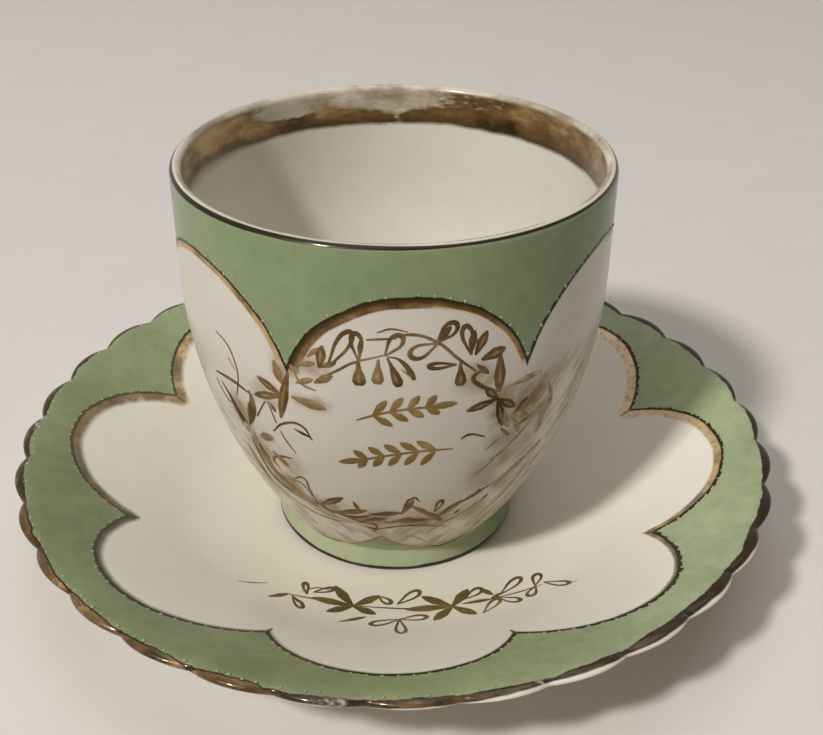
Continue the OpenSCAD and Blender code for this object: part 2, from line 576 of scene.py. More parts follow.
def rimPlaces():
    out = []
    for i in range(dish["scallops"] * dots["rimPerScallop"]):
        turn = radians(dish["turn"]) + scallopStep * (i + 0.3 + 0.4 * uneven(i)) / dots["rimPerScallop"]
        x, y = cos(turn), sin(turn)
        off = offTip(x, y)
        edge = edgeR(off)
        r = rimGilt["follow"] * edge + (1 - rimGilt["follow"]) * rimGilt["from"] - giltReach(x, y)
        r -= dots["rimIn"] + 0.35 * uneven(i + 7)
        if r > edge - 0.8 or uneven(i + 3) < dots["rimLost"]:  # on the roll, or worn off
            continue
        sink = 0.12 + dish["sink"] * pinchAt(off) * 0.85  # into the glaze and down with the valleys
        out.append((onDish(r * x, r * y, -sink), dishNormal(r, turn), 0.55 + 0.7 * uneven(i + 5)))
    return out


archDots = makeDots("arch_dots", archPlaces(), arch["panels"])
settle(archDots, "cup", angle=60)
petalDots = makeDots("lobe_dots", petalPlaces())
rimDots = makeDots("rim_dots", rimPlaces())
for piece in (petalDots, rimDots):
    bpy.context.view_layer.objects.active = piece
    settle(piece, "saucer", angle=60)
dotPieces = (archDots, petalDots, rimDots)
print("dots set:", sum(len(piece.data.polygons) for piece in dotPieces), "faces")


# gilt brush strokes, each a kind, a half width and its points; drawn flat as curves, then laid on the glaze
def flower(mid, w, *tips, kind="leaf"):
    return [(kind, w, mid, tip) for tip in tips]


def sprig(start, end, bow, pairs, size, w):
    # a bowed stem with pairs of leaves that shrink towards its end
    (ax, ay), (bx, by) = start, end
    length = hypot(bx - ax, by - ay)
    dx, dy = (bx - ax) / length, (by - ay) / length
    spots = []
    for i in range(pairs + 2):
        t = i / (pairs + 1)
        off = bow * 4 * t * (1 - t)
        spots.append((ax + (bx - ax) * t - dy * off, ay + (by - ay) * t + dx * off))
    endX, endY = spots[-1]
    out = [("line", 0.28, *spots), ("leaf", w, spots[-2], (endX + dx * size * 0.6, endY + dy * size * 0.6))]
    for i, (px, py) in enumerate(spots[1:-1]):
        grow = size * (1 - 0.35 * i / pairs)
        for side in (1, -1):
            tip = px + (dx * 0.72 - dy * 0.7 * side) * grow, py + (dy * 0.72 + dx * 0.7 * side) * grow
            out.append(("leaf", w, (px, py), tip))
    return out


cupStrokes = [
    # garland under the arch
    ("line", 0.26, (-15.8, 60.4), (-12.5, 62.6), (-9.7, 64.5), (-4.5, 66.3)),
    ("leaf", 0.85, (-16.8, 59.3), (-13.4, 61.4)), ("loop", 1.15, (-14.2, 63.0), (-10.0, 70.5)),
    ("leaf", 0.95, (-15.7, 62.6), (-15.0, 67.2)), ("leaf", 0.6, (-15.6, 62.8), (-12.6, 64.2)),
    ("loop", 0.95, (-8.7, 65.0), (-9.2, 70.3)), ("leaf", 0.5, (-8.6, 65.4), (-8.2, 69.4)),
    ("drop", 1.25, (-8.8, 65.0), (-8.7, 60.0)), ("drop", 1.1, (-5.4, 65.5), (-5.6, 60.5)),
    ("drop", 0.95, (-3.9, 65.8), (-2.8, 63.0), (-1.9, 60.0)),
    ("drop", 0.55, (-3.9, 66.0), (-1.4, 65.0), (0.7, 61.3)), ("loop", 1.15, (-4.3, 66.2), (-1.6, 70.1)),
    ("line", 0.25, (-7.4, 69.2), (-5.4, 69.4), (-2.4, 69.6)),
    ("line", 0.2, (-5.6, 70.6), (-3.4, 71.4), (-0.4, 70.8)),
    ("line", 0.3, (-3.6, 69.5), (0.2, 70.3), (4.5, 68.5), (8.1, 64.9), (11.5, 61.7)),
    ("loop", 1.3, (4.6, 68.3), (0.0, 66.2)), ("loop", 1.2, (4.4, 68.4), (7.6, 71.8)),
    ("leaf", 0.7, (4.6, 68.6), (6.8, 71.4)), ("loop", 0.95, (10.5, 65.2), (9.3, 71.0)),
    ("leaf", 0.8, (10.4, 65.4), (10.9, 70.0)), ("leaf", 0.95, (11.2, 65.0), (13.3, 69.4)),
    ("leaf", 1.2, (12.4, 63.8), (17.0, 65.2)), ("leaf", 1.2, (16.0, 64.4), (16.4, 56.0)),
    ("loop", 0.55, (7.9, 63.7), (3.2, 63.9)), ("drop", 1.1, (8.6, 64.1), (8.8, 59.2)),
    ("line", 0.45, (13.1, 61.7), (11.1, 60.4), (12.3, 58.6), (16.1, 56.1)),
    ("leaf", 0.6, (11.6, 63.0), (14.0, 60.6)),
    # right side
    ("line", 0.3, (9.8, 46.5), (11.1, 47.3), (14.8, 45.9)), ("line", 0.22, (15.4, 42.1), (18.2, 44.0)),
    ("line", 0.22, (14.4, 35.4), (20.4, 40.2)), ("leaf", 0.45, (18.0, 47.0), (20.6, 44.0)),
    ("leaf", 0.5, (20.5, 49.5), (23.4, 52.6)), ("leaf", 0.45, (22.0, 46.0), (25.0, 47.4)),
    # left side and its vine
    ("line", 0.22, (-39.0, 62.6), (-35.9, 61.2), (-34.4, 58.3), (-34.1, 55.1), (-35.9, 49.6)),
    ("line", 0.2, (-36.3, 58.3), (-34.7, 56.1)),
    ("line", 0.45, (-41.7, 52.6), (-35.7, 53.0), (-31.8, 52.1)),
    ("leaf", 1.0, (-31.7, 52.8), (-31.7, 48.8), (-34.3, 43.2)), ("leaf", 0.9, (-38.8, 48.4), (-35.4, 41.6)),
    ("line", 0.24, (-42.6, 50.6), (-39.8, 46.7), (-38.2, 46.7)),
    ("line", 0.7, (-38.1, 47.6), (-35.7, 43.3), (-33.3, 37.7), (-31.4, 35.6)),
    ("leaf", 0.5, (-40.6, 51.0), (-37.0, 46.6)), ("line", 0.34, (-27.9, 51.8), (-31.0, 46.9)),
    ("line", 0.34, (-27.2, 52.1), (-26.2, 47.3)), ("leaf", 0.5, (-26.6, 51.9), (-25.7, 50.0)),
    ("leaf", 1.05, (-21.8, 60.4), (-23.2, 55.0), (-24.8, 49.0)),
    ("leaf", 0.45, (-21.2, 61.5), (-20.2, 60.9)),
    ("line", 0.28, (-27.5, 44.7), (-24.2, 47.9), (-20.5, 48.6), (-18.6, 45.5)),
    ("leaf", 0.4, (-22.3, 47.3), (-18.9, 46.1)),
    ("line", 0.24, (-25.6, 45.5), (-24.6, 43.0), (-23.0, 40.6)),
    ("line", 0.34, (-29.3, 33.9), (-30.3, 35.6), (-28.1, 37.7), (-24.5, 38.6)),
    ("line", 0.4, (-35.4, 41.1), (-34.8, 34.4), (-33.0, 28.8), (-28.4, 26.3), (-21.8, 25.4)),
    ("line", 0.3, (-25.9, 32.2), (-23.1, 33.4), (-22.6, 30.6), (-21.8, 25.4)),
    ("line", 0.26, (-26.5, 31.5), (-24.4, 31.4), (-22.4, 27.6)),
    # garland over the foot
    ("leaf", 1.0, (-21.4, 25.4), (-14.4, 30.0)), ("line", 0.5, (-20.0, 24.6), (-13.0, 23.4), (-8.9, 24.6)),
    ("leaf", 0.6, (-12.2, 29.3), (-11.1, 26.0)), ("leaf", 0.95, (-17.2, 24.2), (-9.2, 26.6)),
    ("leaf", 0.9, (-8.8, 25.2), (-1.3, 26.2)), ("leaf", 0.85, (-1.3, 25.6), (1.5, 30.4)),
    ("line", 0.35, (-1.3, 25.6), (1.5, 31.2), (2.7, 30.0)), ("leaf", 0.8, (-2.9, 23.1), (5.8, 22.9)),
    ("leaf", 0.9, (3.3, 26.9), (9.5, 21.4)), ("leaf", 1.0, (7.4, 23.1), (13.4, 27.9)),
    ("loop", 0.7, (6.8, 25.4), (8.0, 29.2)), ("leaf", 0.75, (6.7, 24.2), (1.1, 28.4)),
    ("leaf", 0.7, (-11.0, 22.6), (-4.6, 24.2)), ("leaf", 0.6, (-4.0, 22.2), (1.6, 24.4)),
    ("leaf", 0.6, (-22.4, 26.6), (-18.0, 23.2)),
    ("line", 0.32, (-16.6, 23.5), (-11.0, 22.0), (-7.6, 21.0), (-8.3, 18.3)),
    ("leaf", 0.5, (-10.3, 20.0), (-6.9, 19.2)), ("line", 0.32, (-6.8, 19.8), (0.9, 21.1), (11.0, 18.8)),
    ("leaf", 0.5, (16.0, 28.6), (17.2, 30.2)), ("leaf", 0.5, (19.4, 25.6), (20.4, 27.2)),
    ("leaf", 0.5, (12.1, 23.0), (13.6, 24.4)), ("line", 0.35, (13.4, 27.6), (17.0, 29.4), (20.0, 30.3)),
    ("leaf", 0.6, (13.0, 27.0), (18.6, 29.8))]
cupStrokes += flower((16.3, 54.5), 0.95, (10.3, 53.2), (18.3, 47.4), (20.6, 51.2), (13.6, 57.6))
cupStrokes += flower((-23.6, 54.6), 0.95, (-28.9, 57.2), (-30.4, 52.4))
fadedStrokes = sprig((-9.5, 52.2), (6.0, 55.0), 1.2, 4, 4.2, 0.8)
fadedStrokes += sprig((8.5, 44.4), (-11.0, 41.4), -1.4, 5, 4.6, 0.85)
for u in (88.0, -88.0):  # on two of the panels behind
    fadedStrokes += sprig((u - 10, 56.0), (u + 9, 57.5), 2.0, 5, 4.6, 0.85)
# thin and rubbed strokes, mostly low on the bowl and to the sides
wornStrokes = [
    ("leaf", 1.1, (-21.6, 55.0), (-15.0, 53.8)), ("leaf", 1.1, (-32.6, 41.0), (-28.1, 42.8)),
    ("leaf", 1.3, (-36.4, 45.0), (-33.4, 36.6)), ("leaf", 1.2, (-34.6, 38.0), (-31.2, 30.4)),
    ("leaf", 1.2, (-32.4, 32.0), (-25.6, 26.4)), ("leaf", 1.0, (-30.4, 28.0), (-22.0, 24.2)),
    ("leaf", 0.9, (-38.6, 36.0), (-36.4, 26.0)), ("leaf", 0.9, (-29.6, 38.6), (-26.0, 35.4)),
    ("leaf", 1.0, (-24.6, 62.0), (-23.4, 57.4)), ("leaf", 0.7, (-21.4, 62.0), (-19.6, 60.6)),
    ("line", 0.35, (-36.8, 43.0), (-33.6, 36.0), (-29.0, 30.0), (-22.6, 26.6)),
    ("line", 0.3, (-34.0, 26.0), (-27.0, 22.0), (-19.0, 20.6), (-12.0, 21.4)),
    ("line", 0.3, (-24.0, 23.0), (-14.0, 21.6), (-4.0, 22.6), (6.0, 20.8)),
    ("line", 0.22, (0.2, 17.1), (3.6, 15.4), (6.9, 12.7)),
    ("leaf", 0.8, (20.0, 30.3), (26.0, 33.4), (31.8, 37.8)),
    ("line", 0.35, (20.8, 18.3), (27.7, 25.9), (31.8, 37.8)),
    ("line", 0.3, (9.0, 20.2), (14.6, 22.6), (20.2, 26.6)),
    ("leaf", 0.75, (27.4, 55.4), (30.4, 48.0), (28.2, 41.0)), ("leaf", 0.9, (21.2, 49.6), (24.4, 47.2)),
    ("leaf", 0.8, (18.6, 56.6), (25.8, 57.4)), ("leaf", 0.7, (25.4, 45.6), (20.6, 40.6), (17.0, 38.6)),
    ("leaf", 0.8, (16.8, 52.4), (19.8, 46.6)), ("leaf", 0.7, (20.6, 48.6), (23.0, 44.0)),
    ("line", 0.3, (-20.6, 61.0), (-19.4, 58.6), (-16.6, 57.6)), ("leaf", 0.6, (-20.0, 62.4), (-16.4, 63.4)),
    ("leaf", 0.7, (-20.4, 58.4), (-17.0, 60.0)), ("leaf", 0.5, (-17.8, 64.4), (-15.8, 66.6)),
    ("leaf", 0.8, (21.0, 29.0), (27.0, 35.0))]
dishStrokes = [
    ("line", 0.2, (-33.9, -29.9), (-31.0, -29.8), (-27.9, -29.2)),
    ("leaf", 0.75, (-27.6, -34.6), (-23.6, -32.7)),
    ("line", 0.28, (-24.0, -32.8), (-18.5, -34.2), (-10.8, -36.7)),
    ("loop", 0.7, (-22.9, -33.4), (-21.0, -38.0)), ("leaf", 0.5, (-22.6, -34.2), (-20.6, -36.4)),
    ("loop", 0.55, (-20.0, -32.6), (-20.4, -28.6)), ("loop", 0.7, (-18.7, -31.8), (-14.6, -30.6)),
    ("line", 0.22, (-21.0, -31.6), (-18.0, -30.2), (-15.4, -31.0)),
    ("leaf", 0.6, (-13.8, -43.2), (-8.3, -40.8)), ("loop", 0.8, (-5.6, -33.4), (-3.3, -36.0)),
    ("loop", 1.0, (-1.9, -36.4), (2.8, -32.4)),
    ("line", 0.26, (-9.5, -36.7), (-4.0, -37.6), (0.4, -38.2), (9.0, -38.4)),
    ("leaf", 0.65, (11.0, -37.8), (17.0, -37.3)), ("loop", 0.95, (11.8, -36.2), (15.4, -33.0)),
    ("loop", 0.95, (14.6, -42.6), (18.4, -37.6)), ("loop", 0.95, (18.3, -37.1), (22.3, -39.9)),
    ("loop", 1.0, (19.0, -36.0), (23.8, -30.8)), ("leaf", 0.75, (15.0, -32.6), (17.5, -35.8)),
    ("leaf", 0.6, (16.8, -37.2), (19.4, -35.4)),
    ("line", 0.26, (17.0, -37.2), (23.0, -36.2), (27.6, -35.1)),
    ("loop", 0.9, (26.2, -35.2), (24.4, -38.8)), ("loop", 0.9, (26.2, -34.9), (27.5, -30.6)),
    ("loop", 0.9, (28.0, -34.2), (32.4, -37.8)), ("line", 0.2, (32.3, -37.7), (34.2, -37.8))]
dishStrokes += flower((-10.8, -36.7), 1.15, (-14.3, -29.7), (-18.9, -33.7), (-16.1, -38.9), (-6.4, -39.9),
                      (-5.4, -33.3))
dishStrokes += flower((9.0, -38.4), 1.2, (3.2, -34.2), (-0.4, -38.5), (4.8, -43.5), (13.3, -42.7),
                      (12.8, -32.8))
dishStrokes += flower((-1.9, -42.2), 1.0, (-7.6, -44.1), (-1.9, -48.8), (3.5, -41.7), kind="loop")
for i in range(petal["count"]):
    a = lobeTurn(2 * pi * (i + 0.5) / petal["count"])  # a short tail where two lobes meet
    dishStrokes.append(("leaf", 0.36, (59.6 * cos(a), 59.6 * sin(a)), (56.6 * cos(a), 56.6 * sin(a))))


# painted highlights: lighter gilding along the middle of the wide strokes, in shares of their width and
# length
# least is the half width in millimetres from which a stroke has it
paintedHighlights = {"wide": 0.3, "rise": 0.86, "leafLeast": 0.95, "leafSpan": (0.3, 0.78),
          "dropLeast": 0.5, "dropSpan": (0.5, 0.88)}


def paintedHighlightsOn(rows, v):
    out = []
    for kind, w, *pts in rows:
        if kind not in ("leaf", "drop") or w < v[kind + "Least"]:
            continue
        (ax, ay), (bx, by) = pts[0], pts[-1]
        ends = [(ax + (bx - ax) * f, ay + (by - ay) * f) for f in v[kind + "Span"]]
        out.append(("leaf", w * v["wide"], *ends))
    return out


def strokePath(kind, w, pts):
    # points with half widths along one stroke
    (ax, ay), (bx, by) = pts[0], pts[-1]
    if kind == "loop":
        dx, dy = bx - ax, by - ay
        length = hypot(dx, dy)
        nx, ny = -dy / length, dx / length
        shape = [(0, 0, 0.2), (0.3, 0.5, 0.24), (0.68, 0.95, 0.34), (0.93, 0.6, 0.46), (1.0, 0, 0.5),
                 (0.93, -0.6, 0.42), (0.68, -0.95, 0.3), (0.3, -0.5, 0.24), (0, 0, 0.2)]
        return [(ax + dx * t + nx * w * s, ay + dy * t + ny * w * s, r) for t, s, r in shape]
    if kind == "line":
        ends = (0, len(pts) - 1)
        return [(x, y, w * (0.55 if i in ends else 1)) for i, (x, y) in enumerate(pts)]
    midX, midY = pts[len(pts) // 2] if len(pts) > 2 else ((ax + bx) / 2, (ay + by) / 2)
    pullX, pullY = 2 * midX - (ax + bx) / 2, 2 * midY - (ay + by) / 2
    profile = {"leaf": [(0, 0.22), (0.25, 0.62), (0.55, 1.0), (0.82, 0.72), (1.0, 0.2)],
               "drop": [(0, 0.2), (0.3, 0.38), (0.6, 0.8), (0.85, 1.0), (1.0, 0.62)]}[kind]
    out = []
    for t, f in profile:
        p, q, r = (1 - t) * (1 - t), 2 * t * (1 - t), t * t
        out.append((p * ax + q * pullX + r * bx, p * ay + q * pullY + r * by, w * f))
    return out


strokeForm = {"flat": 0.14, "lift": 0.03}  # pressed flat, and clear of the glaze


def layStrokes(name, rows, place, rise=0.0):
    # rise lifts a stroke by that many of its half widths
    deselect()
    bpy.ops.curve.primitive_bezier_curve_add(radius=1)
    data = bpy.context.object.data
    data.splines.clear()
    data.bevel_depth = 1 * mm
    data.bevel_resolution = 1
    data.resolution_u = 4
    data.use_fill_caps = True
    for kind, w, *pts in rows:
        path = strokePath(kind, w, pts)
        s = data.splines.new("BEZIER")
        s.bezier_points.add(len(path) - 1)
        for p, (x, y, r) in zip(s.bezier_points, path):
            p.co = (x * mm, y * mm, w * rise * mm)
            p.radius = r
            p.handle_left_type = p.handle_right_type = "AUTO"
    bpy.ops.object.convert(target="MESH")
    obj = rename(name)
    editMode()
    selectAll()
    bpy.ops.mesh.remove_doubles(threshold=2e-6)
    bpy.ops.transform.resize(value=(1, 1, strokeForm["flat"]), center_override=(0, 0, 0))
    bm = bmesh.from_edit_mesh(obj.data)
    for v in bm.verts:
        v.co = place(v.co.x / mm, v.co.y / mm, v.co.z / mm + strokeForm["lift"])
    bmesh.update_edit_mesh(obj.data)
    turnOut()
    return obj


gilding = {}
paintedHighlightStrokes = paintedHighlightsOn(cupStrokes, paintedHighlights)
for name, rows, rise in (("cup_gilding", cupStrokes, 0.0), ("cup_gilding_worn", wornStrokes, 0.0),
                         ("cup_gilding_faded", fadedStrokes, 0.0),
                         ("cup_gilding_painted_highlights", paintedHighlightStrokes, paintedHighlights["rise"] / paintedHighlights["wide"])):
    gilding[name] = layStrokes(name, rows, onCup, rise)
    settle(gilding[name], "cup", angle=60)
gilding["saucer_gilding"] = layStrokes("saucer_gilding", dishStrokes, onDish)
settle(gilding["saucer_gilding"], "saucer", angle=60)
print("strokes laid:", sum(len(piece.data.polygons) for piece in gilding.values()), "faces")


# finishes
tone = {"cupWhite": srgb(213, 206, 195), "dishWhite": srgb(232, 227, 212), "lining": srgb(228, 224, 212),
        "cream": srgb(212, 202, 184), "paintedGlint": srgb(230, 223, 211), "smoke": srgb(128, 110, 84),
        "cupGreen": srgb(133, 146, 110), "footGreenPaintedLight": srgb(167, 175, 142),
        "deepGreen": srgb(125, 135, 97), "paleGreen": srgb(160, 170, 133), "dotGreen": srgb(147, 160, 122),
        "rose": srgb(222, 196, 160), "tan": srgb(198, 166, 116), "rubbed": srgb(136, 97, 48),
        "brown": srgb(118, 90, 52), "umber": srgb(68, 48, 18), "dark": srgb(44, 33, 2),
        "black": srgb(32, 21, 0), "plum": srgb(42, 25, 16)}


def lobeDistance(u, v, cuspU, cuspV, radius):
    # millimetres outside a row of arcs; past a cusp it is the distance back to the cusp
    ring = lengthOf(u, v) - radius
    back = lengthOf(u - cuspU, v - cuspV)
    side = calc("GREATER_THAN", v * cuspU, u * cuspV)
    return side * (ring + back) - back


def makeArchLine(v):
    g, given, out = startGroup("archLine", {"Vector": "v"}, {"Upper": "f", "Lower": "f", "Turn": "f"})
    x, y, z = inMillimetres(given["Vector"])
    turn = calc("ARCTAN2", x, y * -1.0)
    half = pi / v["panels"]
    lowTurn = turn + (half - radians(v["lowTurn"]))
    for name, angle, height, spread, radius in (
            ("Upper", turn, z - v["midZ"], v["spread"], v["radius"]),
            ("Lower", lowTurn, v["lowZ"] - z, v["lowSpread"], v["lowRadius"])):
        u = abs(calc("WRAP", angle, half, -half) * spread)
        cuspU = half * spread
        plug(out[name], lobeDistance(u, height, cuspU, sqrt(radius ** 2 - cuspU ** 2), radius))
    plug(out["Turn"], turn)
    return g


def makePetalLine(v):
    g, given, out = startGroup("petalLine", {"Vector": "v"}, {"Petal": "f", "Edge": "f", "Radius": "f"})
    x, y, z = inMillimetres(given["Vector"])
    turn = calc("ARCTAN2", x, y * -1.0) - radians(dish["turn"])
    r = lengthOf(x, y)
    half = pi / v["count"]
    up = ease(turn, v["leanFrom"], v["leanFull"], 0.0, v["lean"])
    a = calc("WRAP", turn - up * fall(turn, v["leanHold"], v["leanEnd"]), half, -half)
    u = abs(r * calc("SINE", a))
    outward = r * calc("COSINE", a) - v["mid"]
    along = v["mid"] * cos(half)
    cuspR = along + sqrt(along ** 2 - v["mid"] ** 2 + v["radius"] ** 2)
    cuspOut = cuspR * cos(half) - v["mid"]
    plug(out["Petal"], lobeDistance(u, outward, cuspR * sin(half), cuspOut, v["radius"]))
    step = scallopStep / 2
    off = calc("WRAP", turn - step, step, -step)
    mid = dish["tipR"] - dish["scallopR"]
    across = calc("SINE", off) * mid
    bulge = calc("SQRT", dish["scallopR"] ** 2 - across * across)
    plug(out["Edge"], calc("COSINE", off) * mid + bulge - r)
    plug(out["Radius"], r)
    return g


def makeGlazeMottle():
    ins = {"Vector": "v", "Colour": "c", "Amount": "f"}
    g, given, out = startGroup("glazeMottle", ins, {"Colour": "c", "Height": "f"})
    co = given["Vector"]
    cloud, stipple, speck = noise(co, 48.0), noise(co, 300.0, 4.0, 0.6), noise(co, 1400.0, 2.0)
    mix = (cloud - 0.5) * 1.3 + (stipple - 0.5) * 0.9 + (speck - 0.5) * 0.35
    values = {"Value": mix * given["Amount"] + 1.0, "Color": given["Colour"]}
    plug(out["Colour"], addNode("ShaderNodeHueSaturation", values))
    plug(out["Height"], cloud + stipple * 0.25)
    return g


def makeGiltTone():
    # colour of old gilding, from dark to pale, and where it has rubbed through
    ins = {"Vector": "v", "Wear": "f", "Pale": "f"}
    g, given, out = startGroup("giltTone", ins, {"Colour": "c", "Kept": "f", "Height": "f"})
    co = given["Vector"]
    blotch, streak, fine = noise(co, 62.0, 2.0), noise(co, 240.0, 4.0, 0.65), noise(co, 900.0, 3.0, 0.6)
    shade = given["Pale"] * 0.26 + (blotch * 0.5 + streak * 0.5)
    colour = blend(ease(shade, 0.36, 0.52), tone["dark"], tone["brown"])
    colour = blend(ease(shade, 0.5, 0.68), colour, tone["tan"])
    plug(out["Colour"], blend(ease(shade, 0.68, 0.86), colour, tone["rose"]))
    rub = blotch * 0.45 + (streak * 0.3 + fine * 0.25)
    limit = given["Wear"] * 0.5 + 0.25
    plug(out["Kept"], ease(rub - limit, -0.06, 0.06))
    plug(out["Height"], fine)
    return g


archLine, petalLine = makeArchLine(arch), makePetalLine(petal)
glazeMottle, giltTone = makeGlazeMottle(), makeGiltTone()


def mottle(vector, colour, amount):
    return useGroup(glazeMottle, Vector=vector, Colour=colour, Amount=amount)


def oldGilt(vector, wear, paintedReflection):
    return useGroup(giltTone, Vector=vector, Wear=wear, Pale=paintedReflection)


finish = {"metal": 0.3, "rough": 0.24, "giltRough": 0.08, "coat": 0.36, "coatRough": 0.07, "ior": 1.3,
          "bump": 0.00012, "bumpMuch": 0.5}


def finishShader(shader, gold, colour, height, shine=None):
    # gilding is part metal with a clear coat where it shines, the glaze round it glossy
    plug(shader["Base Color"], colour)
    plug(shader["Metallic"], gold * finish["metal"])
    plug(shader["Roughness"], gold * finish["giltRough"] + finish["rough"])
    plug(shader["Coat Weight"], (gold if shine is None else shine) * finish["coat"])
    plug(shader["Coat Roughness"], finish["coatRough"])
    plug(shader["IOR"], finish["ior"])
    bumpUp(shader, height, finish["bump"], finish["bumpMuch"])


# rubbed gilding left as soft patches: along the wall, height, half width, half height, strength
smudges = [
    (17.5, 52.0, 4.2, 5.4, 0.9), (24.0, 50.5, 6.8, 7.0, 0.9), (29.0, 46.0, 2.6, 5.8, 0.9),
    (24.0, 38.5, 7.0, 5.6, 0.7), (20.0, 43.5, 5.0, 3.2, 0.6), (26.0, 30.0, 6.0, 6.4, 0.65),
    (16.5, 35.0, 6.0, 7.0, 0.42), (17.0, 22.6, 7.0, 4.0, 0.8), (6.0, 22.0, 9.0, 4.4, 0.75),
    (-7.0, 23.0, 9.0, 4.4, 0.75), (-20.0, 25.4, 7.0, 4.0, 0.85), (-28.5, 29.0, 5.6, 4.6, 0.9),
    (-33.0, 37.0, 4.2, 6.8, 0.95), (-36.0, 45.5, 3.6, 5.6, 0.85), (-37.0, 28.0, 4.8, 7.4, 0.7),
    (-22.6, 61.0, 3.8, 3.2, 0.8), (-17.5, 62.4, 4.2, 3.8, 0.6), (-18.2, 54.4, 4.8, 2.0, 0.6),
    (-27.0, 53.5, 4.6, 3.4, 0.5), (12.0, 60.0, 4.8, 3.8, 0.6), (-29.6, 42.2, 3.0, 2.0, 0.7),
    (-25.0, 36.0, 3.6, 4.4, 0.4)]


def makeCupPaint():
    m, shader, co = newMaterial("cup_paint")
    x, y, z = inMillimetres(co)
    lines = useGroup(archLine, Vector=co)
    turn = lines["Turn"]
    wobble = (noise(co, 180.0) - 0.5) * 0.7
    upper, lower = lines["Upper"] + wobble, lines["Lower"] + wobble
    white = mottle(co, tone["cupWhite"], 0.1)
    # painted light and shade on the foot: lighter green on the front and left, going over to the bowl's green
    # on the right where the foot is in shade
    foot = blend(ease(turn, 0.0, 0.9), tone["footGreenPaintedLight"], tone["cupGreen"])
    green = mottle(co, blend(ease(z, 9.0, 14.0), foot, tone["cupGreen"]), 0.32)
    # painted reflection on the arch gilding: the front arch is dark on its left and lighter to the right, the
    # others are pale
    front = band(turn, -pi / 6, pi / 6, 0.01)
    paintedReflection = front * (ease(turn, -0.05, 0.5, -0.05, 0.4) - 0.85) + 0.85
    gilt = oldGilt(co, 0.12, paintedReflection)
    worn = oldGilt(co, 0.42, 0.8)
    # rubbed glaze, streaked, low on the bowl and towards both sides of the front panel, with painted
    # highlights on the streaks
    about = abs(turn + 0.1)
    slant = inMetres(about * 12.0 + z * 0.3, z - about * 38.0, 0.0)
    streak = noise(slant, 210.0, 4.0, 0.65)
    paintedGlint = ease(noise(slant, 480.0, 3.0, 0.6), 0.56, 0.66)
    right = band(turn, 0.56, 1.06, 0.16) * band(z, 18.0, 57.0, 6.0)
    left = band(turn, -1.2, -0.68, 0.14) * band(z, 20.0, 44.0, 6.0)
    skirt = band(turn, -1.1, 1.1, 0.2) * fall(z, 18.0, 28.0)
    rubbed = most(right, left, skirt)
    ragged = (noise(co, 210.0, 4.0, 0.65) - 0.5) * 1.5
    patch = rubbed * ease(streak, 0.41, 0.62) * 0.58
    spread = cup["strokeSpread"]
    for u, high, wide, tall, much in smudges:
        far = lengthOf((turn - u / spread) / (wide / spread), (z - high) / tall)
        patch = most(patch, ease(far + ragged, 0.25, 1.2, much, 0.0))
    patch = patch * ease(streak, 0.3, 0.6, 0.5, 1.0)
    colour = blend(patch, white["Colour"], tone["rubbed"])
    # painted highlight: pale glints over the rubbed streaks
    colour = blend(paintedGlint * rubbed * 0.55, colour, tone["paintedGlint"])
    isGreen = most(ease(upper, -0.2, 0.2), ease(lower, -0.25, 0.25))
    colour = blend(isGreen, colour, green["Colour"])
    # gilding inside the arches with a dark outline, none on the panel to the right
    kept = 1.0 - band(turn, 0.53, 1.09, 0.03)
    inside = upper - (front * ease(turn, 0.0, 0.35, -0.55, -0.1) - 1.25)
    arched = ease(inside, -0.2, 0.2) * fall(upper, 0.0, 0.4)
    arched = arched * gilt["Kept"] * (kept * ease(z, 60.4, 62.0))
    # painted reflection: the band darker towards its outer edge; painted highlight: a rose inner edge on the
    # front arch's right
    paintedReflectionDark = ease(upper, -1.3, -0.3) * (paintedReflection * -0.85 + 0.95)
    paintedHighlightEdge = front * ease(turn, 0.0, 0.2) * fall(inside, 0.25, 0.5)
    leafed = blend(paintedReflectionDark, gilt["Colour"], tone["umber"])
    colour = blend(arched, colour, blend(paintedHighlightEdge, leafed, tone["rose"]))
    toothed = (noise(co, 640.0, 2.0) - 0.5) * (kept * -0.8 + 1.4)
    thick = upper - (kept * -0.36 + 0.74) + toothed
    outline = ease(upper, -0.26, 0.02) * fall(thick, -0.1, 0.1)
    colour = blend(outline, colour, tone["dark"])
    footLine = band(lower, -0.85, 0.05, 0.2) * worn["Kept"]
    colour = blend(footLine, colour, worn["Colour"])
    thin = band(lower, -0.05, 0.22, 0.12) * ease(gilt["Kept"], 0.2, 0.9, 0.3, 0.9)
    colour = blend(thin, colour, tone["umber"])
    # dark lines round the lip and the foot, heavier on the left
    lipZ = noise(co, 36.0, 2.0) * 0.4 + z + wobble * 0.2
    lipLow = lipZ - ease(x, -30.0, 15.0, 85.82, 85.98)
    lipTop = z - (band(x, -36.0, 0.0, 9.0) * 0.09 + 86.15)
    lipLine = ease(lipLow, -0.06, 0.06) * fall(lipTop, -0.03, 0.03)
    colour = blend(ease(lipTop, -0.03, 0.03), colour, mottle(co, tone["cream"], 0.4)["Colour"])
    base = fall(z + wobble - ease(x, -24.0, -8.0, 0.6, 0.0), 5.1, 5.4)
    darkLines = most(lipLine, base)
    colour = blend(darkLines, colour, tone["black"])
    gold = most(arched, darkLines, outline, footLine)
    finishShader(shader, gold, colour, green["Height"] + gold * 0.6, lipLine)
    return m


